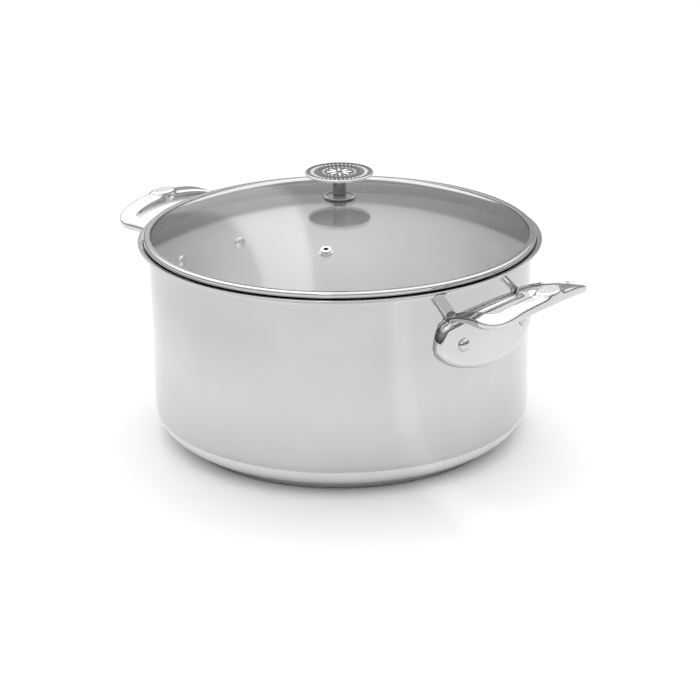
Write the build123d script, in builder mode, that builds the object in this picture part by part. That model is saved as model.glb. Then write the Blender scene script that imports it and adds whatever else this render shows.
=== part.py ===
from build123d import *
import os
from math import asin, cos, degrees, radians, sin, sqrt, tan

# Low two-handled stock pot with a domed glass lid.
# Frame: the origin is the centre of the base's underside, +Z is up and the handles point along
# +X and -X. Lengths are millimetres and angles are degrees. The lid is modelled seated on the pot.

os.makedirs("parts", exist_ok=True)

# ---- driving dimensions -------------------------------------------------------------------------
# pot shell
inner_diameter = 280.0
wall = 0.9
pot_height = 150.0  # from the table to the top of the lip
corner_radius = 19.0  # outside, where the wall turns into the floor
lip_flare = 5.5  # outside radius of the lip's outward turn
lip_reach = 7.7  # how far the lip stands out from the wall

# three-layer base
base_inset = 18.4  # from the wall to the base's edge
base_height = 5.8
capsule_wall = 0.6
capsule_edge_radius = 2.2

# lid band and glass
lid_clearance = 0.4  # between the lid's seat and skirt and the pot
band_reach = 3.5  # the band's outer radius beyond the pot's wall
band_gap = 0.6  # from the lip's top to the band's lower edge
band_height = 3.7
band_sheet = 0.7
band_width = 4.9  # from the band's outer edge to its edge on the glass
band_round = 1.3
band_lower_round = 0.45
band_inner_round = 0.3
skirt_drop = 8.5  # how far the skirt reaches below the lip's top
skirt_wall = 0.6
glass_thickness = 4.0
glass_overlap = 1.6  # how far the glass reaches in under the band's top
dome_rise = 24.7

# steam vent
vent_distance = 92.4  # from the lid's axis
vent_bearing = -54.3  # from +X
vent_flange_diameter = 8.4
vent_flange_thickness = 0.9
vent_flange_round = 0.6
vent_tube_diameter = 5.6
vent_tube_fit = 0.2  # radial clearance in the glass
vent_bore_diameter = 3.6
vent_washer_diameter = 9.4
vent_washer_thickness = 0.6
vent_washer_fit = 0.05  # radial clearance of the tube in its washer
vent_roll_diameter = 7.2
vent_roll_thickness = 0.5

# knob
knob_diameter = 49.6
knob_thickness = 1.9
knob_edge_radius = 0.7
knob_rim_width = 1.5
knob_field_depth = 0.25
knob_ring_radius = 16.3
knob_ring_width = 0.6
stem_diameter = 10.0
stem_length = 16.7
stem_neck_diameter = 9.0
stem_neck_height = 0.9
spigot_diameter = 6.0
spigot_length = 1.1
collar_diameter = 23.5
collar_thickness = 0.7
collar_rim_width = 1.8
collar_rim_height = 0.7
gasket_diameter = 21.0
gasket_thickness = 0.4
bush_diameter = 7.8  # the upper gasket's sleeve in the glass
bush_fit = 0.1  # radial clearance of the sleeve in the glass
bush_gap = 0.4  # from the sleeve's end to the glass's underside
screw_diameter = 5.0
screw_fit = 0.2  # radial clearance in the washers, gaskets and glass
thread_fit = 0.02  # radial clearance in the stem's tapped hole
screw_reach = 9.0  # how far the screw runs up inside the stem
screw_tip_gap = 1.5
screw_head_diameter = 9.4
screw_head_height = 3.0
screw_slot_depth = 1.6
screw_slot_length = 4.6
screw_slot_width = 1.1
lower_washer_diameter = 16.0
lower_washer_thickness = 1.0
lock_washer_diameter = 8.6
lock_washer_thickness = 1.2
lock_washer_gap = 1.0

# handle plate
plate_half_width = 52.3
plate_middle_drop = 44.7  # from the lip's top down to the plate's widest place
plate_drop = 20.8  # from the widest place down to the lower edge
plate_side_rise = 42.0  # height of the ellipse that the sides follow above the widest place
plate_top_drop = 20.2  # from the lip's top down to the plate's upper edge
plate_top_radius = 185.0  # the upper edge is arched
plate_face_radius = 165.0  # the plate's face is flatter than the wall
plate_thickness = 6.2
plate_edge_radius = 4.4

# handle loop: two arms along the pot's radii and a bar that follows the wall
arm_outer_bearing = 17.5
arm_inner_bearing = 13.6
loop_reach = 55.0  # from the wall to the bar's outer edge
bar_width = 14.2
loop_outer_corner = 18.0
loop_inner_corner = 5.5
bar_drop = 3.0  # from the lip's top down to the top of the bar's outer edge
top_arch_radius = 190.0  # the bar rises towards its middle
under_arch_radius = 300.0  # its underside less so, so that it is thinner at its ends
arm_middle = 16.5  # from the wall to the place where the arm's top is measured
arm_middle_drop = 5.4  # and how far it lies below the bar's edge there, as for the next ones
arm_root_drop = 16.0
arm_knee = 11.0  # from the wall to the place where the arm's underside turns down
arm_knee_drop = 14.4
arm_underside_drop = 30.0
bar_thickness = 7.4
loop_edge_radius = 1.5
medallion_length = 24.0
medallion_width = 15.4
medallion_stand = 2.2  # above the bar's outer edge
medallion_depth = 5.0  # how far it reaches down the bar's sides
medallion_edge_radius = 1.3

# rivets
rivet_spacing = 64.6
rivet_drop = 42.5  # from the lip's top down to the rivets
rivet_diameter = 5.0
rivet_fit = 0.05  # radial clearance round the shank
outer_head_diameter = 8.6
outer_head_height = 2.0
inner_head_diameter = 10.0
inner_head_height = 2.2
rivet_seat_depth = 0.4  # how far the flat seat is sunk into the plate's face

# ---- worked out from the driving dimensions -----------------------------------------------------
inner_radius = inner_diameter / 2
outer_radius = inner_radius + wall
lip_radius = outer_radius + lip_reach
lip_centre_radius = outer_radius + lip_flare
lip_centre_height = pot_height - wall - lip_flare

base_radius = outer_radius - base_inset

band_radius = outer_radius + band_reach
band_inner = band_radius - band_width
band_bottom = pot_height + band_gap
band_top = band_bottom + band_height
skirt_radius = inner_radius - lid_clearance
skirt_bottom = pot_height - skirt_drop
glass_radius = band_inner + glass_overlap
dome_radius = (band_inner**2 + dome_rise**2) / (2 * dome_rise)
dome_top = band_top - band_sheet + dome_rise
dome_centre = dome_top - dome_radius
glass_under = dome_top - glass_thickness

collar_bottom = dome_top + gasket_thickness
stem_bottom = collar_bottom + collar_thickness
stem_top = stem_bottom + stem_length
lower_gasket_bottom = glass_under - gasket_thickness
lower_washer_bottom = lower_gasket_bottom - lower_washer_thickness
lock_washer_bottom = lower_washer_bottom - lock_washer_thickness

plate_middle = pot_height - plate_middle_drop
plate_bottom = plate_middle - plate_drop
plate_top = pot_height - plate_top_drop
bar_height = pot_height - bar_drop
rivet_height = pot_height - rivet_drop
rivet_bearing = degrees(asin(rivet_spacing / 2 / outer_radius))
face_centre = outer_radius + plate_thickness - plate_face_radius  # along X
rivet_direction = (cos(radians(rivet_bearing)), sin(radians(rivet_bearing)))


def dome_height(radius, depth=0.0):
    """Height, at a radius, of the surface that lies a depth inside the dome."""
    return dome_centre + sqrt((dome_radius - depth) ** 2 - radius**2)


def radial_plane(bearing):
    """Plane through the rivets' height whose normal points away from the pot's axis."""
    outward = (cos(radians(bearing)), sin(radians(bearing)), 0)
    return Plane(origin=(0, 0, rivet_height), x_dir=(0, 0, 1), z_dir=outward)


# Distance along a rivet's own radius from the pot's axis to the plate's face.
face_reach = face_centre * rivet_direction[0] + sqrt(
    plate_face_radius**2 - (face_centre * rivet_direction[1]) ** 2
)
outer_seat = face_reach - rivet_seat_depth
inner_seat = sqrt(inner_radius**2 - (inner_head_diameter / 2) ** 2)

# ---- pot shell ----------------------------------------------------------------------------------
# One drawn sheet: flat floor, round corner, straight wall and a lip that turns outwards to pour.
with BuildPart() as pot_shell:
    with BuildSketch(Plane.XZ):
        with BuildLine():
            outside = FilletPolyline(
                (0, base_height),
                (outer_radius, base_height),
                (outer_radius, pot_height - wall),
                (lip_radius - wall / 2, pot_height - wall),
                radius=(corner_radius, lip_flare),
            )
            inside = FilletPolyline(
                (0, base_height + wall),
                (inner_radius, base_height + wall),
                (inner_radius, pot_height),
                (lip_radius - wall / 2, pot_height),
                radius=(corner_radius - wall, lip_flare + wall),
            )
            Line(outside @ 0, inside @ 0)
            ThreePointArc(outside @ 1, (lip_radius, pot_height - wall / 2), inside @ 1)
        make_face()
    revolve(axis=Axis.Z)
    for side in (0, 180):
        for bearing in (side - rivet_bearing, side + rivet_bearing):
            with BuildSketch(radial_plane(bearing).offset(inner_radius - 2 * wall)):
                Circle(rivet_diameter / 2 + rivet_fit)
            extrude(amount=4 * wall, mode=Mode.SUBTRACT)

# ---- base ---------------------------------------------------------------------------------------
# An aluminium core spreads the heat. A steel capsule, open at the top, holds it to the floor.
with BuildPart() as base_core:
    with BuildSketch(Plane.XY.offset(capsule_wall)):
        Circle(base_radius - capsule_wall)
    extrude(amount=base_height - capsule_wall)
    fillet(base_core.edges().group_by(Axis.Z)[0], capsule_edge_radius - capsule_wall)

with BuildPart() as base_capsule:
    with BuildSketch(Plane.XY):
        Circle(base_radius)
    extrude(amount=base_height)
    fillet(base_capsule.edges().group_by(Axis.Z)[0], capsule_edge_radius)
    add(base_core.part, mode=Mode.SUBTRACT)

# ---- handles ------------------------------------------------------------------------------------
# Each handle is one casting: an oval plate riveted to the wall, and a loop that rises from it.
with BuildPart() as handle_plate:
    with BuildSketch(Plane.YZ.offset(inner_radius / 2)) as plate_outline:
        # the lower half is one ellipse, and the sides above it follow a taller one
        with Locations((0, plate_middle)):
            Ellipse(plate_half_width, plate_drop)
        with BuildSketch(mode=Mode.PRIVATE) as upper_outline:
            with Locations((0, plate_middle)):
                Ellipse(plate_half_width, plate_side_rise)
                Rectangle(
                    2 * plate_half_width,
                    plate_side_rise,
                    align=(Align.CENTER, Align.MIN),
                    mode=Mode.INTERSECT,
                )
            with Locations((0, plate_top - plate_top_radius)):
                Circle(plate_top_radius, mode=Mode.INTERSECT)
        add(upper_outline.sketch_local)
    extrude(amount=inner_diameter)
    with BuildSketch(Plane.XY.offset(plate_bottom - plate_drop)):
        with Locations((face_centre, 0)):
            Circle(plate_face_radius)
    extrude(amount=4 * plate_drop, mode=Mode.INTERSECT)
    rim = handle_plate.faces().filter_by(GeomType.CYLINDER).sort_by(Axis.X)[-1]
    fillet(rim.edges(), plate_edge_radius)

# The arms start inside the wall, and the wall's own cylinder trims them.
root_x = outer_radius * cos(radians(arm_outer_bearing)) - 2 * wall
edge_x = outer_radius + loop_reach
tip_x = edge_x + loop_edge_radius
plan_plane = Plane.XY.offset(plate_bottom)


def wedge(bearing, radius):
    """Sector of a disc about the pot's axis, from -bearing to +bearing."""
    side = 2 * radius * tan(radians(bearing))
    with BuildSketch(plan_plane) as sector:
        Circle(radius)
        Polygon((0, 0), (2 * radius, side), (2 * radius, -side), align=None, mode=Mode.INTERSECT)
    return sector.sketch


with BuildPart() as handle_loop:
    # side views, each turned about an axis along X so that the bar is arched
    with BuildSketch(Plane.XZ):
        with BuildLine():
            over = ThreePointArc(
                (root_x, bar_height - arm_root_drop),
                (outer_radius + arm_middle, bar_height - arm_middle_drop),
                (tip_x, bar_height),
            )
            Polyline(over @ 1, (tip_x, plate_bottom), (root_x, plate_bottom), over @ 0)
        make_face()
    revolve(axis=Axis((0, 0, bar_height - top_arch_radius), (1, 0, 0)))
    with BuildSketch(Plane.XZ):
        with BuildLine():
            tip_low = (tip_x, bar_height - bar_thickness)
            knee = (outer_radius + arm_knee, bar_height - arm_knee_drop)
            Line(tip_low, knee)
            root_arc = TangentArc(
                knee,
                (root_x, bar_height - arm_underside_drop),
                tangent=(knee[0] - tip_low[0], knee[1] - tip_low[1]),
            )
            Polyline(root_arc @ 1, (root_x, pot_height), (tip_x, pot_height), tip_low)
        make_face()
    revolve(axis=Axis((0, 0, bar_height - under_arch_radius), (1, 0, 0)), mode=Mode.INTERSECT)
    with BuildSketch(plan_plane) as outline:
        add(wedge(arm_outer_bearing, edge_x))
        fillet(outline.vertices().group_by(Axis.X)[-1], loop_outer_corner)
    extrude(amount=bar_height, mode=Mode.INTERSECT)
    with BuildSketch(plan_plane) as window:
        add(wedge(arm_inner_bearing, edge_x - bar_width))
        fillet(window.vertices().group_by(Axis.X)[-1], loop_inner_corner)
    extrude(amount=bar_height, mode=Mode.SUBTRACT)
    # the long edges all round the outline and the window
    rounded = (GeomType.BSPLINE, GeomType.ELLIPSE)
    fillet([edge for edge in handle_loop.edges() if edge.geom_type in rounded], loop_edge_radius)

medallion_x = outer_radius + loop_reach - bar_width / 2
with BuildPart() as medallion:
    with BuildSketch(Plane.XY.offset(bar_height - medallion_depth)):
        with Locations((medallion_x, 0)):
            Ellipse(medallion_width / 2, medallion_length / 2)
    extrude(amount=medallion_depth + medallion_stand)
    fillet(medallion.edges(), medallion_edge_radius)

with BuildPart() as handle_right:
    add(handle_plate.part)
    add(handle_loop.part)
    add(medallion.part)
    # the plate's back lies on the wall
    with BuildSketch(Plane.XY.offset(plate_bottom - plate_drop)):
        Circle(outer_radius)
    extrude(amount=4 * plate_drop, mode=Mode.SUBTRACT)
    for bearing in (-rivet_bearing, rivet_bearing):
        with BuildSketch(radial_plane(bearing).offset(inner_radius)):
            Circle(rivet_diameter / 2 + rivet_fit)
        extrude(amount=4 * plate_thickness, mode=Mode.SUBTRACT)
        with BuildSketch(radial_plane(bearing).offset(outer_seat)):
            Circle(outer_head_diameter / 2 + rivet_fit)
        extrude(amount=plate_thickness, mode=Mode.SUBTRACT)

with BuildPart() as handle_left:
    add(handle_right.part, rotation=(0, 0, 180))


# ---- rivets -------------------------------------------------------------------------------------
def make_rivet(bearing):
    """Round rivet along the pot's radius, with a domed head on the plate and one inside the wall."""
    outward = (cos(radians(bearing)), sin(radians(bearing)), 0)
    sideways = (sin(radians(bearing)), -cos(radians(bearing)), 0)
    section = Plane(origin=(0, 0, rivet_height), x_dir=outward, z_dir=sideways)
    with BuildPart() as rivet:
        with BuildSketch(section):
            with BuildLine():
                inner_tip = (inner_seat - inner_head_height, 0)
                outer_tip = (outer_seat + outer_head_height, 0)
                TangentArc(inner_tip, (inner_seat, inner_head_diameter / 2), tangent=(0, 1))
                Polyline(
                    (inner_seat, inner_head_diameter / 2),
                    (inner_seat, rivet_diameter / 2),
                    (outer_seat, rivet_diameter / 2),
                    (outer_seat, outer_head_diameter / 2),
                )
                TangentArc(outer_tip, (outer_seat, outer_head_diameter / 2), tangent=(0, 1))
                Line(outer_tip, inner_tip)
            make_face()
        revolve(axis=Axis((0, 0, rivet_height), outward))
    return rivet


rivet_bearings = {
    "rivet_right_front": -rivet_bearing,
    "rivet_right_back": rivet_bearing,
    "rivet_left_front": 180 + rivet_bearing,
    "rivet_left_back": 180 - rivet_bearing,
}
rivets = {name: make_rivet(bearing) for name, bearing in rivet_bearings.items()}

# ---- lid glass ----------------------------------------------------------------------------------
vent_direction = (cos(radians(vent_bearing)), sin(radians(vent_bearing)))
vent_tilt = asin(vent_distance / dome_radius)
vent_plane = Plane(
    origin=(
        vent_distance * vent_direction[0],
        vent_distance * vent_direction[1],
        dome_height(vent_distance),
    ),
    z_dir=(sin(vent_tilt) * vent_direction[0], sin(vent_tilt) * vent_direction[1], cos(vent_tilt)),
)

with BuildPart() as lid_glass:
    with BuildSketch(Plane.XZ):
        with BuildLine():
            top = TangentArc(
                (0, dome_top), (glass_radius, dome_height(glass_radius)), tangent=(1, 0)
            )
            under = TangentArc(
                (0, glass_under),
                (glass_radius, dome_height(glass_radius, glass_thickness)),
                tangent=(1, 0),
            )
            Line(top @ 0, under @ 0)
            Line(top @ 1, under @ 1)
        make_face()
    revolve(axis=Axis.Z)
    with BuildSketch(Plane.XY.offset(glass_under - glass_thickness)):
        Circle(bush_diameter / 2 + bush_fit)
    extrude(amount=3 * glass_thickness, mode=Mode.SUBTRACT)
    with BuildSketch(vent_plane.offset(-2 * glass_thickness)):
        Circle(vent_tube_diameter / 2 + vent_tube_fit)
    extrude(amount=3 * glass_thickness, mode=Mode.SUBTRACT)

# ---- lid band -----------------------------------------------------------------------------------
# A rolled steel rim grips the glass's edge. Its underside follows the lip's curve, and a skirt
# hangs from it inside the pot.
seat_radius = lip_flare + wall + lid_clearance
seat_diagonal = seat_radius / sqrt(2)
seat_edge = (lip_centre_radius - seat_diagonal, lip_centre_height + seat_diagonal)
lower_edge = (seat_edge[0] + band_bottom - seat_edge[1], band_bottom)
skirt_inside = skirt_radius - skirt_wall


def along_glass(start, end, depth=0.0):
    """Arc on the glass, in the half section, from one radius to another."""
    middle = (start + end) / 2
    points = [(radius, dome_height(radius, depth)) for radius in (start, middle, end)]
    return ThreePointArc(*points)


with BuildPart() as lid_band:
    with BuildSketch(Plane.XZ):
        with BuildLine():
            FilletPolyline(
                (band_inner, dome_height(band_inner)),
                (band_inner, band_top),
                (band_radius, band_top),
                (band_radius, band_bottom),
                lower_edge,
                radius=(band_inner_round, band_round, band_lower_round),
            )
            Line(lower_edge, seat_edge)
            TangentArc(seat_edge, (skirt_radius, lip_centre_height), tangent=(-1, -1))
            Polyline(
                (skirt_radius, lip_centre_height),
                (skirt_radius, skirt_bottom),
                (skirt_inside, skirt_bottom),
                (skirt_inside, dome_height(skirt_inside, glass_thickness)),
            )
            glass_edge_low = along_glass(skirt_inside, glass_radius, glass_thickness)
            glass_edge_high = along_glass(band_inner, glass_radius)
            Line(glass_edge_low @ 1, glass_edge_high @ 1)
        make_face()
    revolve(axis=Axis.Z)

# ---- steam vent ---------------------------------------------------------------------------------
# A hollow eyelet through the glass, rolled over a washer below. The flat washer meets the hollow
# side of the dome at its rim.
under_radius = dome_radius - glass_thickness
vent_washer_sag = under_radius - sqrt(under_radius**2 - (vent_washer_diameter / 2) ** 2)
vent_washer_top = -glass_thickness - vent_washer_sag
vent_roll_top = vent_washer_top - vent_washer_thickness
vent_end = vent_roll_top - vent_roll_thickness

with BuildPart() as vent_eyelet:
    with BuildSketch(vent_plane):
        Circle(vent_flange_diameter / 2)
    extrude(amount=vent_flange_thickness)
    vent_axis = Axis(vent_plane.origin, vent_plane.z_dir)
    fillet(vent_eyelet.edges().group_by(vent_axis)[-1], vent_flange_round)
    with BuildSketch(vent_plane):
        Circle(vent_tube_diameter / 2)
    extrude(amount=vent_roll_top)
    with BuildSketch(vent_plane.offset(vent_roll_top)):
        Circle(vent_roll_diameter / 2)
    extrude(amount=-vent_roll_thickness)
    with BuildSketch(vent_plane.offset(vent_end)):
        Circle(vent_bore_diameter / 2)
    extrude(amount=vent_flange_thickness - vent_end, mode=Mode.SUBTRACT)

with BuildPart() as vent_washer:
    with BuildSketch(vent_plane.offset(vent_roll_top)):
        Circle(vent_washer_diameter / 2)
        Circle(vent_tube_diameter / 2 + vent_washer_fit, mode=Mode.SUBTRACT)
    extrude(amount=vent_washer_thickness)

# ---- knob ---------------------------------------------------------------------------------------
with BuildPart() as knob_disc:
    with BuildSketch(Plane.XY.offset(stem_top)):
        Circle(knob_diameter / 2)
    extrude(amount=knob_thickness)
    fillet(knob_disc.edges(), knob_edge_radius)
    # a shallow etched field inside a polished rim, with one polished ring standing in it
    with BuildSketch(Plane.XY.offset(stem_top + knob_thickness)):
        Circle(knob_diameter / 2 - knob_rim_width)
        Circle(knob_ring_radius + knob_ring_width / 2, mode=Mode.SUBTRACT)
        Circle(knob_ring_radius - knob_ring_width / 2)
    extrude(amount=-knob_field_depth, mode=Mode.SUBTRACT)
    with BuildSketch(Plane.XY.offset(stem_top)):
        Circle(spigot_diameter / 2 + thread_fit)
    extrude(amount=spigot_length, mode=Mode.SUBTRACT)

with BuildPart() as knob_stem:
    with BuildSketch(Plane.XY.offset(stem_bottom)):
        Circle(stem_diameter / 2)
    extrude(amount=stem_length - stem_neck_height)
    with BuildSketch(Plane.XY.offset(stem_top - stem_neck_height)):
        Circle(stem_neck_diameter / 2)
    extrude(amount=stem_neck_height)
    with BuildSketch(Plane.XY.offset(stem_top)):
        Circle(spigot_diameter / 2)
    extrude(amount=spigot_length)
    with BuildSketch(Plane.XY.offset(stem_bottom)):
        Circle(screw_diameter / 2 + thread_fit)
    extrude(amount=screw_reach + screw_tip_gap, mode=Mode.SUBTRACT)

with BuildPart() as knob_collar:
    with BuildSketch(Plane.XY.offset(collar_bottom)):
        Circle(collar_diameter / 2)
    extrude(amount=collar_thickness + collar_rim_height)
    fillet(knob_collar.edges().group_by(Axis.Z)[-1], collar_rim_height)
    with BuildSketch(Plane.XY.offset(stem_bottom)):
        Circle(collar_diameter / 2 - collar_rim_width)
    extrude(amount=collar_rim_height, mode=Mode.SUBTRACT)
    with BuildSketch(Plane.XY.offset(collar_bottom)):
        Circle(screw_diameter / 2 + screw_fit)
    extrude(amount=collar_thickness, mode=Mode.SUBTRACT)

# The gaskets keep steel off the glass. The upper one has a sleeve that lines the hole.
screw_hole = screw_diameter / 2 + screw_fit
with BuildPart() as upper_gasket:
    with BuildSketch(Plane.XZ):
        with BuildLine():
            underside = along_glass(bush_diameter / 2, gasket_diameter / 2)
            Polyline(
                underside @ 1,
                (gasket_diameter / 2, collar_bottom),
                (screw_hole, collar_bottom),
                (screw_hole, glass_under + bush_gap),
                (bush_diameter / 2, glass_under + bush_gap),
                underside @ 0,
            )
        make_face()
    revolve(axis=Axis.Z)

with BuildPart() as lower_gasket:
    with BuildSketch(Plane.XZ):
        with BuildLine():
            upper_face = along_glass(screw_hole, gasket_diameter / 2, glass_thickness)
            Polyline(
                upper_face @ 1,
                (gasket_diameter / 2, lower_gasket_bottom),
                (screw_hole, lower_gasket_bottom),
                upper_face @ 0,
            )
        make_face()
    revolve(axis=Axis.Z)

with BuildPart() as knob_washer:
    with BuildSketch(Plane.XY.offset(lower_washer_bottom)):
        Circle(lower_washer_diameter / 2)
        Circle(screw_hole, mode=Mode.SUBTRACT)
    extrude(amount=lower_washer_thickness)

with BuildPart() as lock_washer:
    with BuildSketch(Plane.XY.offset(lock_washer_bottom)):
        Circle(lock_washer_diameter / 2)
        Circle(screw_hole, mode=Mode.SUBTRACT)
        Rectangle(
            lock_washer_diameter, lock_washer_gap, align=(Align.MIN, Align.CENTER), mode=Mode.SUBTRACT
        )
    extrude(amount=lock_washer_thickness)

with BuildPart() as knob_screw:
    with BuildSketch(Plane.XY.offset(lock_washer_bottom)):
        Circle(screw_diameter / 2)
    extrude(amount=stem_bottom + screw_reach - lock_washer_bottom)
    chamfer(knob_screw.edges().group_by(Axis.Z)[-1], screw_diameter / 8)
    with BuildSketch(Plane.XY.offset(lock_washer_bottom)):
        Circle(screw_head_diameter / 2)
    extrude(amount=-screw_head_height)
    fillet(knob_screw.edges().group_by(Axis.Z)[0], screw_head_height / 2)
    with BuildSketch(Plane.XY.offset(lock_washer_bottom - screw_head_height)):
        Rectangle(screw_slot_length, screw_slot_width)
        Rectangle(screw_slot_width, screw_slot_length)
    extrude(amount=screw_slot_depth, mode=Mode.SUBTRACT)

# ---- export -------------------------------------------------------------------------------------
pieces = {
    "pot_shell": pot_shell,
    "base_core": base_core,
    "base_capsule": base_capsule,
    "handle_right": handle_right,
    "handle_left": handle_left,
    **rivets,
    "lid_glass": lid_glass,
    "lid_band": lid_band,
    "vent_eyelet": vent_eyelet,
    "vent_washer": vent_washer,
    "knob_disc": knob_disc,
    "knob_stem": knob_stem,
    "knob_collar": knob_collar,
    "upper_gasket": upper_gasket,
    "lower_gasket": lower_gasket,
    "knob_washer": knob_washer,
    "lock_washer": lock_washer,
    "knob_screw": knob_screw,
}
for name, piece in pieces.items():
    piece.part.label = name
    export_step(piece.part, f"parts/{name}.step")
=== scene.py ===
# Low two-handled stock pot with a domed glass lid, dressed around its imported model.
from math import asin, ceil, cos, pi, radians, sin

import bmesh
import bpy
from mathutils import Matrix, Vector
from mathutils.bvhtree import BVHTree


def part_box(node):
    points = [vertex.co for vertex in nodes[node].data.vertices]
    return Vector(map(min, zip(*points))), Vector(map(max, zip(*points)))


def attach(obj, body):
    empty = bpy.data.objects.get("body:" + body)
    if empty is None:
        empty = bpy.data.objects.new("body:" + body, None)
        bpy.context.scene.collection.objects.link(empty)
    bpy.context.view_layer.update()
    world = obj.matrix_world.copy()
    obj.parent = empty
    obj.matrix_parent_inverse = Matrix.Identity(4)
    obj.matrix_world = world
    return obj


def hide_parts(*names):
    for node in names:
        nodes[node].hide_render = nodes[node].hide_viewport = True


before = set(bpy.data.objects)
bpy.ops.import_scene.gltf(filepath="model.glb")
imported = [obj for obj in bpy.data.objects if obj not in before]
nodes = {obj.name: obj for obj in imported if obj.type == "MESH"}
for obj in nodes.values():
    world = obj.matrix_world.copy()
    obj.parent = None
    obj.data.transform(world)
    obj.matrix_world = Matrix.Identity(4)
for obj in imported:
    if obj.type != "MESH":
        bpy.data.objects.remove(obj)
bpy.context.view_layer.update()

# ---- studio -------------------------------------------------------------------------------------
# A white table that runs out of sight, a bright ceiling, and a dark strip low on the walls that
# polished steel shows as a crisp line.
camera_lens = 99.45  # millimetres, as is the sensor
camera_sensor = 36.0
camera_place = (0.9066, -1.0176, 0.5818)
camera_bearing = 41.415  # degrees, as are the tilt and the roll
camera_tilt = 68.988
camera_roll = -0.467
camera_data = bpy.data.cameras.new("studio_camera")
camera_data.lens = camera_lens
camera_data.sensor_width = camera_sensor
camera = bpy.data.objects.new("studio_camera", camera_data)
camera.matrix_world = (
    Matrix.Translation(camera_place)
    @ Matrix.Rotation(radians(camera_bearing), 4, "Z")
    @ Matrix.Rotation(radians(camera_tilt), 4, "X")
    @ Matrix.Rotation(radians(camera_roll), 4, "Z")
)
bpy.context.scene.collection.objects.link(camera)
bpy.context.scene.camera = camera
bpy.context.scene.view_settings.view_transform = "Standard"


def add_node(tree, kind, sockets=None, **settings):
    """A node with its settings made and its sockets set to values or joined to other sockets."""
    made = tree.nodes.new(kind)
    for name, value in settings.items():
        setattr(made, name, value)
    for name, value in (sockets or {}).items():
        if isinstance(value, bpy.types.NodeSocket):
            tree.links.new(value, made.inputs[name])
        else:
            made.inputs[name].default_value = value
    return made


def add_ramp(tree, factor, stops):
    """A colour ramp over the given stops, each a position and a grey or a colour."""
    ramp = add_node(tree, "ShaderNodeValToRGB", {"Fac": factor})
    elements = ramp.color_ramp.elements
    while len(elements) < len(stops):
        elements.new(1.0)
    for element, (position, colour) in zip(elements, stops):
        element.position = position
        element.color = (*colour, 1.0) if isinstance(colour, tuple) else (colour,) * 3 + (1.0,)
    return ramp.outputs["Color"]


def new_mesh_object(name, mesh):
    """An object at the world origin that shows the mesh."""
    made = bpy.data.objects.new(name, mesh)
    bpy.context.scene.collection.objects.link(made)
    return made


world = bpy.data.worlds.new("studio_walls")
bpy.context.scene.world = world
world.use_nodes = True
walls = world.node_tree
walls.nodes.clear()
direction = add_node(walls, "ShaderNodeTexCoord").outputs["Generated"]
height = add_node(walls, "ShaderNodeSeparateXYZ", {"Vector": direction}).outputs["Z"]
share = add_node(walls, "ShaderNodeMapRange", {"Value": height, "From Min": -1.0}).outputs["Result"]
wall_light = add_ramp(
    walls,
    share,
    [
        (0.0, 0.05),
        (0.49, 0.02),
        (0.51, 0.10),
        (0.60, 0.30),
        (0.665, 0.38),
        (0.68, 0.85),
        (0.75, 1.1),
        (1.0, 1.25),
    ],
)
# more light comes from behind the pot, and a brighter strip runs from there over to the front
box_direction = (-0.665, 0.747, 0.0)
box_sideways = (0.747, 0.665, 0.0)
box_light = add_ramp(walls, share, [(0.50, 0.25), (0.66, 0.1), (0.68, 0.2), (0.92, 1.1)])
toward_box = add_node(
    walls, "ShaderNodeVectorMath", {0: direction, 1: box_direction}, operation="DOT_PRODUCT"
).outputs["Value"]
across_box = add_node(
    walls, "ShaderNodeVectorMath", {0: direction, 1: box_sideways}, operation="DOT_PRODUCT"
).outputs["Value"]
box_reach = add_ramp(walls, toward_box, [(0.0, 0.0), (0.4, 1.0)])
seam_share = add_node(walls, "ShaderNodeMapRange", {"Value": across_box, "From Min": -1.0})
box_seam = add_ramp(
    walls,
    seam_share.outputs["Result"],
    [(0.40, 1.0), (0.41, 1.6), (0.46, 1.6), (0.47, 1.0)],
)
box = add_node(
    walls, "ShaderNodeVectorMath", {0: box_light, 1: box_reach}, operation="MULTIPLY"
).outputs["Vector"]
room = add_node(walls, "ShaderNodeVectorMath", {0: wall_light, 1: box}).outputs["Vector"]
room_light = add_node(
    walls, "ShaderNodeVectorMath", {0: room, 1: box_seam}, operation="MULTIPLY"
).outputs["Vector"]
seen = add_node(walls, "ShaderNodeBackground", {"Color": (1, 1, 1, 1), "Strength": 1.0})
lit = add_node(walls, "ShaderNodeBackground", {"Color": room_light, "Strength": 1.0})
ray = add_node(walls, "ShaderNodeLightPath")
either = add_node(
    walls,
    "ShaderNodeMixShader",
    {0: ray.outputs["Is Camera Ray"], 1: lit.outputs[0], 2: seen.outputs[0]},
)
add_node(walls, "ShaderNodeOutputWorld", {"Surface": either.outputs[0]})

# The table is white near the pot and a little darker farther off, with one paler wedge: painted
# light and shade that thins the shadow round the pot's foot and gives the wall a brighter strip to
# show.
table_radius = 2.4
table_mesh = bpy.data.meshes.new("table_top")
outline = bmesh.new()
bmesh.ops.create_circle(outline, cap_ends=True, segments=96, radius=table_radius)
outline.to_mesh(table_mesh)
outline.free()
table = new_mesh_object("table_top", table_mesh)
paint = bpy.data.materials.new("table_paint")
paint.use_nodes = True
paint_tree = paint.node_tree
paint_shader = paint_tree.nodes["Principled BSDF"]
floor_place = add_node(paint_tree, "ShaderNodeTexCoord").outputs["Object"]
away = add_node(
    paint_tree, "ShaderNodeVectorMath", {0: floor_place}, operation="LENGTH"
).outputs["Value"]
floor_axes = add_node(paint_tree, "ShaderNodeSeparateXYZ", {"Vector": floor_place})
bearing = add_node(
    paint_tree,
    "ShaderNodeMath",
    {0: floor_axes.outputs["Y"], 1: floor_axes.outputs["X"]},
    operation="ARCTAN2",
).outputs[0]
strip_share = add_node(
    paint_tree, "ShaderNodeMapRange", {"Value": bearing, "From Min": -1.0, "From Max": 1.0}
).outputs["Result"]
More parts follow.
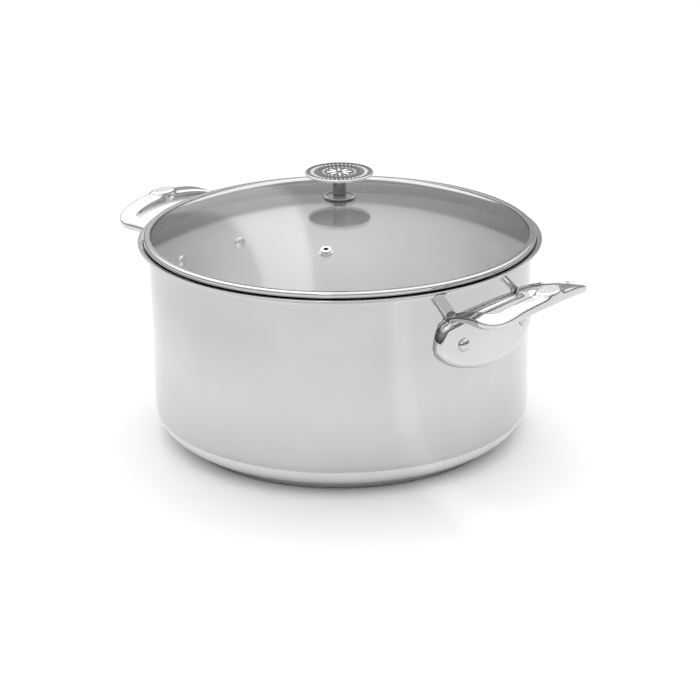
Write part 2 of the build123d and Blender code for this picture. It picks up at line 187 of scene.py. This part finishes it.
# a paler wedge of painted light, which the polished wall shows as a brighter strip
strip = add_ramp(
    paint_tree,
    strip_share,
    [(0.27, 0.91), (0.32, 1.0), (0.36, 1.0), (0.40, 0.95), (0.6, 0.90)],
)
# painted light: the table is lighter near the pot, which thins the shadow round its foot
near = add_ramp(paint_tree, away, [(0.1, 1.0), (0.28, 0.98), (0.42, 0.86), (0.6, 0.84)])
painted_light_colour = add_node(
    paint_tree, "ShaderNodeVectorMath", {0: near, 1: strip}, operation="MULTIPLY"
).outputs["Vector"]
paint_tree.links.new(painted_light_colour, paint_shader.inputs["Base Color"])
paint_shader.inputs["Roughness"].default_value = 0.9
paint_shader.inputs["Specular IOR Level"].default_value = 0.0
table_mesh.materials.append(paint)


# ---- base ---------------------------------------------------------------------------------------
# An aluminium plate under the floor, wrapped in a steel capsule that is pressed on hot. The
# capsule is left with the fine rings of the lathe.
def new_group(name, inputs, outputs):
    """An empty shader node group with number inputs and outputs."""
    group = bpy.data.node_groups.new(name, "ShaderNodeTree")
    for socket_name, value in inputs.items():
        socket = group.interface.new_socket(
            name=socket_name, in_out="INPUT", socket_type="NodeSocketFloat"
        )
        socket.default_value = value
    for socket_name in outputs:
        group.interface.new_socket(
            name=socket_name, in_out="OUTPUT", socket_type="NodeSocketFloat"
        )
    return group, add_node(group, "NodeGroupInput"), add_node(group, "NodeGroupOutput")


def calculate(tree, operation, first, second=0.0):
    """The result socket of one Math node."""
    return add_node(tree, "ShaderNodeMath", {0: first, 1: second}, operation=operation).outputs[0]


# Marks that a lathe or a polishing wheel leaves round the pot's axis, and soft finger smudges.
turning, turning_in, turning_out = new_group(
    "turning_marks", {"Lines": 900.0, "Length": 3.0, "Smudge": 14.0}, ["Marks", "Smudges"]
)
spot = add_node(turning, "ShaderNodeTexCoord").outputs["Object"]
axes = add_node(turning, "ShaderNodeSeparateXYZ", {"Vector": spot})
flat = add_node(
    turning, "ShaderNodeCombineXYZ", {"X": axes.outputs["X"], "Y": axes.outputs["Y"]}
)
radius = add_node(
    turning, "ShaderNodeVectorMath", {0: flat.outputs[0]}, operation="LENGTH"
).outputs["Value"]
along_x = calculate(turning, "DIVIDE", axes.outputs["X"], radius)
along_y = calculate(turning, "DIVIDE", axes.outputs["Y"], radius)
ring_place = add_node(
    turning,
    "ShaderNodeCombineXYZ",
    {
        "X": calculate(turning, "MULTIPLY", radius, turning_in.outputs["Lines"]),
        "Y": calculate(turning, "MULTIPLY", axes.outputs["Z"], turning_in.outputs["Lines"]),
        "Z": calculate(turning, "MULTIPLY", along_x, turning_in.outputs["Length"]),
    },
)
rings = add_node(
    turning,
    "ShaderNodeTexNoise",
    {
        "Vector": ring_place.outputs[0],
        "W": calculate(turning, "MULTIPLY", along_y, turning_in.outputs["Length"]),
        "Scale": 1.0,
        "Detail": 3.0,
        "Roughness": 0.6,
    },
    noise_dimensions="4D",
)
smudge = add_node(
    turning,
    "ShaderNodeTexNoise",
    {"Vector": spot, "Scale": turning_in.outputs["Smudge"], "Detail": 4.0, "Roughness": 0.55},
)
turning.links.new(rings.outputs["Fac"], turning_out.inputs["Marks"])
turning.links.new(smudge.outputs["Fac"], turning_out.inputs["Smudges"])


# The part of a piece that lies within a radius of the pot's axis and between two heights.
zone, zone_in, zone_out = new_group("zone_mask", {"Radius": 1.0, "Low": 0.0, "High": 1.0}, ["Mask"])
zone_axes = add_node(
    zone,
    "ShaderNodeSeparateXYZ",
    {"Vector": add_node(zone, "ShaderNodeTexCoord").outputs["Object"]},
)
zone_flat = add_node(
    zone, "ShaderNodeCombineXYZ", {"X": zone_axes.outputs["X"], "Y": zone_axes.outputs["Y"]}
)
zone_radius = add_node(
    zone, "ShaderNodeVectorMath", {0: zone_flat.outputs[0]}, operation="LENGTH"
).outputs["Value"]
nearer = calculate(zone, "LESS_THAN", zone_radius, zone_in.outputs["Radius"])
higher = calculate(zone, "GREATER_THAN", zone_axes.outputs["Z"], zone_in.outputs["Low"])
lower = calculate(zone, "LESS_THAN", zone_axes.outputs["Z"], zone_in.outputs["High"])
zone.links.new(
    calculate(zone, "MULTIPLY", nearer, calculate(zone, "MULTIPLY", higher, lower)),
    zone_out.inputs["Mask"],
)


smudged_colour = 0.93  # where it is smudged most, as a share of the clean metal's
smudged_roughness = 0.8  # added there, as a share of the metal's own roughness


def make_steel(name, colour, roughness, marks, depth, lines=900.0, length=3.0, other=None):
    """Bare metal: turning marks and smudges change its roughness, its colour and its relief.

    other is a second finish for one zone: its radius, lowest and highest place, its colour and
    how much rougher it is.
    """
    material = bpy.data.materials.new(name)
    material.use_nodes = True
    tree = material.node_tree
    shader = tree.nodes["Principled BSDF"]
    shader.inputs["Metallic"].default_value = 1.0
    finish = add_node(tree, "ShaderNodeGroup", node_tree=turning)
    finish.inputs["Lines"].default_value = lines
    finish.inputs["Length"].default_value = length
    spread = add_node(
        tree,
        "ShaderNodeMapRange",
        {
            "Value": finish.outputs["Marks"],
            "From Min": 0.3,
            "From Max": 0.7,
            "To Min": roughness - marks,
            "To Max": roughness + marks,
        },
    ).outputs["Result"]
    soft = add_node(
        tree,
        "ShaderNodeMapRange",
        {
            "Value": finish.outputs["Smudges"],
            "From Min": 0.45,
            "From Max": 0.75,
            "To Max": roughness * smudged_roughness,
        },
    ).outputs["Result"]
    rough = calculate(tree, "ADD", spread, soft)
    dull = tuple(channel * smudged_colour for channel in colour)
    metal = add_ramp(tree, finish.outputs["Smudges"], [(0.35, colour), (0.7, dull)])
    if other:
        radius, low, high, other_colour, rougher = other
        place = add_node(tree, "ShaderNodeGroup", node_tree=zone)
        for socket, value in (("Radius", radius), ("Low", low), ("High", high)):
            place.inputs[socket].default_value = value
        mask = place.outputs["Mask"]
        rough = calculate(tree, "ADD", rough, calculate(tree, "MULTIPLY", mask, rougher))
        metal = add_node(
            tree,
            "ShaderNodeMix",
            {0: mask, 6: metal, 7: (*other_colour, 1.0)},
            data_type="RGBA",
        ).outputs[2]
    tree.links.new(rough, shader.inputs["Roughness"])
    tree.links.new(metal, shader.inputs["Base Color"])
    relief = add_node(
        tree,
        "ShaderNodeBump",
        {"Height": finish.outputs["Marks"], "Strength": 1.0, "Distance": depth},
    )
    tree.links.new(relief.outputs["Normal"], shader.inputs["Normal"])
    return material


def dress(node_name, material):
    """Gives a model node its finish."""
    node = nodes[node_name]
    node.data.materials.clear()
    node.data.materials.append(material)
    return node


dress("base_core", make_steel("core_metal", (0.75, 0.75, 0.75), 0.34, 0.06, 4e-6))
dress("base_capsule", make_steel("capsule_steel", (0.42, 0.41, 0.40), 0.20, 0.05, 1.5e-6, 1500.0))

# ---- pot shell ----------------------------------------------------------------------------------
# One sheet of stainless steel, drawn to a cup with a lip turned outwards to pour. The wall is
# polished to a mirror outside and left satin inside. The base is brazed under its floor.
inside_radius = 0.1404  # within the sheet of the wall
floor_height = 0.0062  # and within that of the floor
lip_height = 0.1495
wall_inside = (inside_radius, floor_height, lip_height, (0.80, 0.80, 0.80), 0.24)
dress(
    "pot_shell",
    make_steel("wall_steel", (0.58, 0.58, 0.585), 0.05, 0.01, 2e-7, 700.0, other=wall_inside),
)

# ---- handles ------------------------------------------------------------------------------------
# Two castings of stainless steel, each a plate, a loop and a medallion in one. They are tumbled
# until every edge is round, polished bright, and riveted through the wall.
cast = make_steel("cast_steel", (0.66, 0.66, 0.67), 0.06, 0.015, 3e-7, 300.0)
weld_distance = 1e-6
casting_voxel = 0.0006
casting_rounds = 44
bar_start = 0.170  # the bar lies farther than this from the pot's axis, along X
bar_under = 0.1394  # height of the middle of its underside, which is arched
under_arch = 0.300
straight_half = 0.028  # the bar's top is left as it is up to here, along Y
end_half = 0.054
bar_blend = 0.012  # the filing fades in over this, along X
end_filing = 0.6  # share of the height taken off at the very end


def freeze(piece):
    """Turns a piece's modifiers into its plain mesh."""
    graph = bpy.context.evaluated_depsgraph_get()
    plain = bpy.data.meshes.new_from_object(piece.evaluated_get(graph))
    plain.name = piece.name
    piece.modifiers.clear()
    piece.data = plain
    return piece


def cast_handle(name, node_name):
    """The model's handle as a casting: one skin whose edges and inside corners are rounded."""
    mesh = nodes[node_name].data.copy()
    work = bmesh.new()
    work.from_mesh(mesh)
    bmesh.ops.remove_doubles(work, verts=work.verts, dist=weld_distance)
    work.to_mesh(mesh)
    work.free()
    casting = new_mesh_object(name, mesh)
    skin = casting.modifiers.new("skin", "REMESH")
    skin.mode = "VOXEL"
    skin.voxel_size = casting_voxel
    tumble = casting.modifiers.new("tumble", "SMOOTH")
    tumble.factor = 0.5
    tumble.iterations = casting_rounds
    freeze(casting)
    for corner in casting.data.vertices:
        across, along, up = corner.co
        past = min(max((abs(along) - straight_half) / (end_half - straight_half), 0.0), 1.0)
        out = min(max((abs(across) - bar_start) / bar_blend, 0.0), 1.0)
        over = max(up - bar_under + along**2 / (2 * under_arch), 0.0)
        corner.co.z = up - over * end_filing * past**2 * out
    casting.data.materials.clear()
    casting.data.materials.append(cast)
    casting.data.shade_smooth()
    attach(casting, "pot")
    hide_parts(node_name)
    return casting


castings = [
    cast_handle("right_handle", "handle_right"),
    cast_handle("left_handle", "handle_left"),
]


# The medallion's face is cast with rows of fine round studs.
def new_shape_tree(name, inputs):
    """An empty Geometry Nodes tree with named inputs, and the sockets that give them."""
    tree = bpy.data.node_groups.new(name, "GeometryNodeTree")
    tree.interface.new_socket(name="Points", in_out="INPUT", socket_type="NodeSocketGeometry")
    for socket_name, kind in inputs.items():
        tree.interface.new_socket(
            name=socket_name, in_out="INPUT", socket_type="NodeSocket" + kind
        )
    tree.interface.new_socket(name="Shape", in_out="OUTPUT", socket_type="NodeSocketGeometry")
    return tree, add_node(tree, "NodeGroupInput").outputs


def end_shape_tree(tree, instances, metal):
    """Ends a tree: its instances become real and smooth, and take their metal."""
    real = add_node(tree, "GeometryNodeRealizeInstances", {"Geometry": instances})
    smooth = add_node(tree, "GeometryNodeSetShadeSmooth", {"Geometry": real.outputs[0]})
    dressed = add_node(
        tree, "GeometryNodeSetMaterial", {"Geometry": smooth.outputs[0], "Material": metal}
    )
    add_node(tree, "NodeGroupOutput", {"Shape": dressed.outputs[0]})


def grow(name, points, tree, values, body):
    """The piece that a tree makes from a few points, as a plain mesh that moves with a body."""
    mesh = bpy.data.meshes.new(name)
    mesh.from_pydata(points, [], [])
    piece = new_mesh_object(name, mesh)
    modifier = piece.modifiers.new("grow", "NODES")
    modifier.node_group = tree
    for socket in tree.interface.items_tree:
        if socket.name in values:
            modifier[socket.identifier] = values[socket.name]
    freeze(piece)
    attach(piece, body)
    return piece


def stretched_ball(tree, length, width, height, segments=12, rings=8):
    """A ball whose half sizes are the three sockets or values."""
    ball = add_node(
        tree, "GeometryNodeMeshUVSphere", {"Radius": 1.0, "Segments": segments, "Rings": rings}
    )
    scale = add_node(tree, "ShaderNodeCombineXYZ", {0: length, 1: width, 2: height})
    return add_node(
        tree, "GeometryNodeTransform", {"Geometry": ball.outputs["Mesh"], "Scale": scale.outputs[0]}
    ).outputs[0]


studs, stud_in = new_shape_tree(
    "studded_oval",
    {
        "Rows": "Int",
        "Columns": "Int",
        "Half Width": "Float",
        "Half Length": "Float",
        "Pitch": "Float",
        "Stud Radius": "Float",
        "Stud Height": "Float",
        "Metal": "Material",
    },
)
sheet = add_node(
    studs,
    "GeometryNodeMeshGrid",
    {
        "Size X": calculate(studs, "MULTIPLY", stud_in["Half Width"], 2.0),
        "Size Y": calculate(studs, "MULTIPLY", stud_in["Half Length"], 2.0),
        "Vertices X": stud_in["Rows"],
        "Vertices Y": stud_in["Columns"],
    },
)
index = add_node(studs, "GeometryNodeInputIndex").outputs[0]
row = calculate(studs, "FLOOR", calculate(studs, "DIVIDE", index, stud_in["Columns"]))
odd = calculate(studs, "MODULO", row, 2.0)
half_pitch = calculate(studs, "MULTIPLY", stud_in["Pitch"], 0.5)
shift = add_node(
    studs, "ShaderNodeCombineXYZ", {"Y": calculate(studs, "MULTIPLY", odd, half_pitch)}
)
staggered = add_node(
    studs,
    "GeometryNodeSetPosition",
    {"Geometry": sheet.outputs["Mesh"], "Offset": shift.outputs[0]},
)
stud_place = add_node(
    studs,
    "ShaderNodeSeparateXYZ",
    {"Vector": add_node(studs, "GeometryNodeInputPosition").outputs[0]},
).outputs
across = calculate(studs, "DIVIDE", stud_place["X"], stud_in["Half Width"])
along = calculate(studs, "DIVIDE", stud_place["Y"], stud_in["Half Length"])
spread = calculate(
    studs,
    "ADD",
    calculate(studs, "MULTIPLY", across, across),
    calculate(studs, "MULTIPLY", along, along),
)
oval = add_node(
    studs,
    "GeometryNodeDeleteGeometry",
    {
        "Geometry": staggered.outputs[0],
        "Selection": calculate(studs, "GREATER_THAN", spread, 1.0),
    },
)
patch = add_node(
    studs,
    "GeometryNodeInstanceOnPoints",
    {
        "Points": oval.outputs[0],
        "Instance": stretched_ball(
            studs, stud_in["Stud Radius"], stud_in["Stud Radius"], stud_in["Stud Height"], 8, 6
        ),
    },
)
both_patches = add_node(
    studs,
    "GeometryNodeInstanceOnPoints",
    {"Points": stud_in["Points"], "Instance": patch.outputs[0]},
)
end_shape_tree(studs, both_patches.outputs[0], stud_in["Metal"])

medallion_distance = 0.1888
medallion_face = 0.1490
medallion_half_width = 0.0058
medallion_half_length = 0.0098
stud_pitch = 0.00095
row_pitch = stud_pitch * 0.866  # staggered rows, each stud in the middle of a hexagon
stud_radius = 0.00037
stud_height = 0.00026
above_medallion = 0.16
medallion_studs = grow(
    "medallion_studs",
    [(side * medallion_distance, 0.0, medallion_face) for side in (1, -1)],
    studs,
    {
        "Rows": 1 + ceil(2 * medallion_half_width / row_pitch),
        "Columns": 1 + ceil(2 * medallion_half_length / stud_pitch),
        "Half Width": medallion_half_width,
        "Half Length": medallion_half_length,
        "Pitch": stud_pitch,
        "Stud Radius": stud_radius,
        "Stud Height": stud_height,
        "Metal": cast,
    },
    "pot",
)
# the studs follow the medallion's crowned face
skins = [
    BVHTree.FromPolygons(
        [corner.co for corner in casting.data.vertices],
        [face.vertices for face in casting.data.polygons],
    )
    for casting in castings
]
for corner in medallion_studs.data.vertices:
    skin = skins[0 if corner.co.x > 0 else 1]
    landing = skin.ray_cast((corner.co.x, corner.co.y, above_medallion), (0, 0, -1))[0]
    corner.co.z += landing.z - medallion_face

# ---- rivets -------------------------------------------------------------------------------------
# Four solid steel rivets, two through each plate and the wall. The outer heads are domed and
# polished, and the flatter inner heads close on the inside of the wall.
rivet_metal = make_steel("rivet_steel", (0.6, 0.6, 0.61), 0.10, 0.03, 3e-7, 900.0)
rivet_tree, rivet_in = new_shape_tree(
    "headed_rivet",
    {
        "Head Radius": "Float",
        "Head Height": "Float",
        "Inner Radius": "Float",
        "Inner Height": "Float",
        "Shank Radius": "Float",
        "Grip": "Float",
        "Metal": "Material",
    },
)
back = add_node(
    rivet_tree,
    "ShaderNodeCombineXYZ",
    {"Z": calculate(rivet_tree, "MULTIPLY", rivet_in["Grip"], -1.0)},
)
half_back = add_node(
    rivet_tree,
    "ShaderNodeCombineXYZ",
    {"Z": calculate(rivet_tree, "MULTIPLY", rivet_in["Grip"], -0.5)},
)
shank = add_node(
    rivet_tree,
    "GeometryNodeMeshCylinder",
    {"Vertices": 32, "Radius": rivet_in["Shank Radius"], "Depth": rivet_in["Grip"]},
)
outer_head = stretched_ball(
    rivet_tree, rivet_in["Head Radius"], rivet_in["Head Radius"], rivet_in["Head Height"], 48, 24
)
inner_ball = stretched_ball(
    rivet_tree, rivet_in["Inner Radius"], rivet_in["Inner Radius"], rivet_in["Inner Height"], 48, 24
)
inner_head = add_node(
    rivet_tree, "GeometryNodeTransform", {"Geometry": inner_ball, "Translation": back.outputs[0]}
)
set_shank = add_node(
    rivet_tree,
    "GeometryNodeTransform",
    {"Geometry": shank.outputs["Mesh"], "Translation": half_back.outputs[0]},
)
joined = add_node(rivet_tree, "GeometryNodeJoinGeometry")
for part in (outer_head, set_shank.outputs[0], inner_head.outputs[0]):
    rivet_tree.links.new(part, joined.inputs[0])
outward = add_node(
    rivet_tree,
    "ShaderNodeVectorMath",
    {0: add_node(rivet_tree, "GeometryNodeInputPosition").outputs[0], 1: (1.0, 1.0, 0.0)},
    operation="MULTIPLY",
)
facing = add_node(
    rivet_tree, "FunctionNodeAlignRotationToVector", {"Vector": outward.outputs[0]}, axis="Z"
)
set_rivets = add_node(
    rivet_tree,
    "GeometryNodeInstanceOnPoints",
    {
        "Points": rivet_in["Points"],
        "Instance": joined.outputs[0],
        "Rotation": facing.outputs[0],
    },
)
end_shape_tree(rivet_tree, set_rivets.outputs[0], rivet_in["Metal"])

rivet_names = ["rivet_" + name for name in ("right_front", "right_back", "left_front", "left_back")]
rivet_low, rivet_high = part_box(rivet_names[0])
rivet_height = (rivet_low[2] + rivet_high[2]) / 2
face_distance = 0.14755  # from the pot's axis to the plate's face
wall_distance = 0.1399  # and to the wall's inside
rivet_half_spacing = 0.0323
pot_radius = 0.1409
rivet_bearing = asin(rivet_half_spacing / pot_radius)
head_radius = 0.0047
head_height = 0.0027
inner_head_radius = 0.0049
inner_head_height = 0.0020
shank_radius = 0.0025
rivet_places = [
    (
        side * face_distance * cos(rivet_bearing),
        edge * face_distance * sin(rivet_bearing),
        rivet_height,
    )
    for side in (1, -1)
    for edge in (1, -1)
]
rivets = grow(
    "handle_rivets",
    rivet_places,
    rivet_tree,
    {
        "Head Radius": head_radius,
        "Head Height": head_height,
        "Inner Radius": inner_head_radius,
        "Inner Height": inner_head_height,
        "Shank Radius": shank_radius,
        "Grip": face_distance - wall_distance,
        "Metal": rivet_metal,
    },
    "pot",
)
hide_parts(*rivet_names)

# ---- lid glass ----------------------------------------------------------------------------------
# One pressed and tempered dome of clear glass, with a hole for the knob's screw and one for the
# vent. Its edge is held in the steel band.
glass = bpy.data.materials.new("clear_glass")
glass.use_nodes = True
glass_tree = glass.node_tree
glass_shader = glass_tree.nodes["Principled BSDF"]
glass_shader.inputs["Transmission Weight"].default_value = 1.0
glass_shader.inputs["IOR"].default_value = 1.5
glass_shader.inputs["Base Color"].default_value = (0.97, 0.985, 0.98, 1.0)
fingers = add_node(glass_tree, "ShaderNodeGroup", node_tree=turning)
wiped = add_node(
    glass_tree,
    "ShaderNodeMapRange",
    {"Value": fingers.outputs["Smudges"], "From Min": 0.5, "From Max": 0.8, "To Max": 0.03},
)
glass_tree.links.new(wiped.outputs["Result"], glass_shader.inputs["Roughness"])
dress("lid_glass", glass)

# ---- lid band -----------------------------------------------------------------------------------
# A strip of stainless steel rolled round the glass's edge and polished, with a skirt that hangs
# inside the pot and keeps the lid in place.
band_steel = make_steel("band_steel", (0.58, 0.57, 0.56), 0.06, 0.01, 2e-7, 1200.0)
arc_steps = 8
band_turns = 360
crease_angle = 30  # degrees
band_outer = 0.1444
band_inner = 0.1395
band_top = 0.1543
band_bottom = 0.1506
skirt_outer = 0.1396
skirt_inner = 0.1390
skirt_bottom = 0.1415


def rounded(corners):
    """A section's outline from its corners, each a radius, a height and a rounding."""
    outline = []
    for number, (across, up, rounding) in enumerate(corners):
        if rounding == 0:
            outline.append((across, up))
            continue
        before = corners[number - 1]
        after = corners[(number + 1) % len(corners)]
        legs = []
        for other in (before, after):
            run, rise = other[0] - across, other[1] - up
            size = (run**2 + rise**2) ** 0.5
            legs.append((run / size, rise / size))
        start, end = [(across + rounding * run, up + rounding * rise) for run, rise in legs]
        for step in range(arc_steps + 1):
            share = step / arc_steps
            outline.append(
                tuple(
                    (1 - share) ** 2 * start[axis]
                    + 2 * share * (1 - share) * (across, up)[axis]
                    + share**2 * end[axis]
                    for axis in (0, 1)
                )
            )
    return outline


def turn(name, outline, turns, material):
    """A closed section turned about the pot's axis."""
    count = len(outline)
    corners = []
    for step in range(turns):
        angle = 2 * pi * step / turns
        corners += [(across * cos(angle), across * sin(angle), up) for across, up in outline]
    faces = []
    for step in range(turns):
        here = step * count
        there = (step + 1) % turns * count
        for number in range(count):
            following = (number + 1) % count
            faces.append((here + number, there + number, there + following, here + following))
    mesh = bpy.data.meshes.new(name)
    mesh.from_pydata(corners, [], faces)
    work = bmesh.new()
    work.from_mesh(mesh)
    bmesh.ops.recalc_face_normals(work, faces=work.faces)
    work.to_mesh(mesh)
    work.free()
    mesh.shade_smooth()
    mesh.set_sharp_from_angle(angle=radians(crease_angle))
    mesh.materials.append(material)
    return new_mesh_object(name, mesh)


band_section = rounded(
    [
        (band_outer, band_top, 0.0018),
        (band_inner, band_top, 0.0004),
        (band_inner, 0.1530, 0.0),
        (band_inner, 0.1500, 0.0),
        (skirt_inner, 0.1490, 0.0),
        (skirt_inner, skirt_bottom, 0.0),
        (skirt_outer, skirt_bottom, 0.0),
        # the seat follows the lip's curve
        (skirt_outer, 0.1436, 0.0),
        (0.1401, 0.1462, 0.0),
        (0.14155, 0.14845, 0.0),
        (0.1437, band_bottom, 0.0),
        (band_outer, band_bottom, 0.0005),
    ]
)
band = turn("rolled_band", band_section, band_turns, band_steel)
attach(band, "lid")
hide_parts("lid_band")

# ---- steam vent ---------------------------------------------------------------------------------
# A hollow steel eyelet that lets the steam out. It stands in a hole in the glass and is rolled
# over a thin washer below.
vent_metal = make_steel("vent_steel", (0.6, 0.6, 0.6), 0.12, 0.03, 3e-7, 900.0)
dress("vent_eyelet", vent_metal)
dress("vent_washer", vent_metal)

# ---- knob ---------------------------------------------------------------------------------------
# A flat steel disc on a turned post that stands in a dished collar. The disc's face is etched dull
# inside a polished rim, and stamped with a ring of ticks round plain beads and petals.
disc_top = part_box("knob_disc")[1][2]
field_radius = 0.0233
field_low = disc_top - 0.0004
field_high = disc_top - 0.0001
etched_field = (field_radius, field_low, field_high, (0.145, 0.145, 0.15), 0.22)
dress(
    "knob_disc",
    make_steel("disc_steel", (0.66, 0.66, 0.66), 0.12, 0.03, 3e-7, 1500.0, other=etched_field),
)
knob_metal = make_steel("knob_steel", (0.6, 0.6, 0.6), 0.10, 0.03, 3e-7, 1500.0)
dress("knob_stem", knob_metal)
dress("knob_collar", knob_metal)
stamp_metal = make_steel("stamp_steel", (0.9, 0.9, 0.9), 0.30, 0.04, 3e-7, 1500.0)

stamped, stamp_in = new_shape_tree(
    "ring_of_marks",
    {
        "Count": "Int",
        "Radius": "Float",
        "Half Length": "Float",
        "Half Width": "Float",
        "Stand": "Float",
        "Metal": "Material",
    },
)
circle = add_node(
    stamped,
    "GeometryNodeMeshCircle",
    {"Vertices": stamp_in["Count"], "Radius": stamp_in["Radius"]},
)
spoke = add_node(
    stamped,
    "FunctionNodeAlignRotationToVector",
    {"Vector": add_node(stamped, "GeometryNodeInputPosition").outputs[0]},
    axis="X",
)
ring = add_node(
    stamped,
    "GeometryNodeInstanceOnPoints",
    {
        "Points": circle.outputs["Mesh"],
        "Instance": stretched_ball(
            stamped, stamp_in["Half Length"], stamp_in["Half Width"], stamp_in["Stand"]
        ),
        "Rotation": spoke.outputs[0],
    },
)
placed = add_node(
    stamped,
    "GeometryNodeInstanceOnPoints",
    {"Points": stamp_in["Points"], "Instance": ring.outputs[0]},
)
end_shape_tree(stamped, placed.outputs[0], stamp_in["Metal"])
etched_height = disc_top - 0.00025
stamp_stand = 0.00028
for name, count, radius, half_length, half_width in (
    ("disc_ticks", 40, 0.0198, 0.0018, 0.00048),
    ("disc_petals", 8, 0.0060, 0.0036, 0.0011),
    ("disc_beads", 24, 0.0118, 0.0008, 0.0005),
):
    grow(
        name,
        [(0.0, 0.0, etched_height)],
        stamped,
        {
            "Count": count,
            "Radius": radius,
            "Half Length": half_length,
            "Half Width": half_width,
            "Stand": stamp_stand,
            "Metal": stamp_metal,
        },
        "lid",
    )

# ---- seals and screw ----------------------------------------------------------------------------
# Clear silicone gaskets keep the steel off the glass on both sides; they are drawn in grey, painted
# shade that stands for the thin shadow where the collar sits on the glass. A slotted screw with a
# washer and a spring washer pulls the knob down from below.
painted_shade_seal = bpy.data.materials.new("seal_painted_shade")
painted_shade_seal.use_nodes = True
seal_tree = painted_shade_seal.node_tree
seal_shader = seal_tree.nodes["Principled BSDF"]
film = add_node(seal_tree, "ShaderNodeGroup", node_tree=turning)
# grey base colour: painted shade for the shadow under the collar, with real smudges a little darker
seal_tree.links.new(
    add_ramp(
        seal_tree, film.outputs["Smudges"], [(0.35, (0.46, 0.46, 0.45)), (0.7, (0.38, 0.38, 0.37))]
    ),
    seal_shader.inputs["Base Color"],
)
grip = add_node(
    seal_tree,
    "ShaderNodeMapRange",
    {"Value": film.outputs["Marks"], "To Min": 0.35, "To Max": 0.6},
)
seal_tree.links.new(grip.outputs["Result"], seal_shader.inputs["Roughness"])
dress("upper_gasket", painted_shade_seal)
dress("lower_gasket", painted_shade_seal)
fixing_metal = make_steel("fixing_steel", (0.55, 0.55, 0.55), 0.22, 0.05, 2e-6, 1500.0)
for name in ("knob_washer", "lock_washer", "knob_screw"):
    dress(name, fixing_metal)
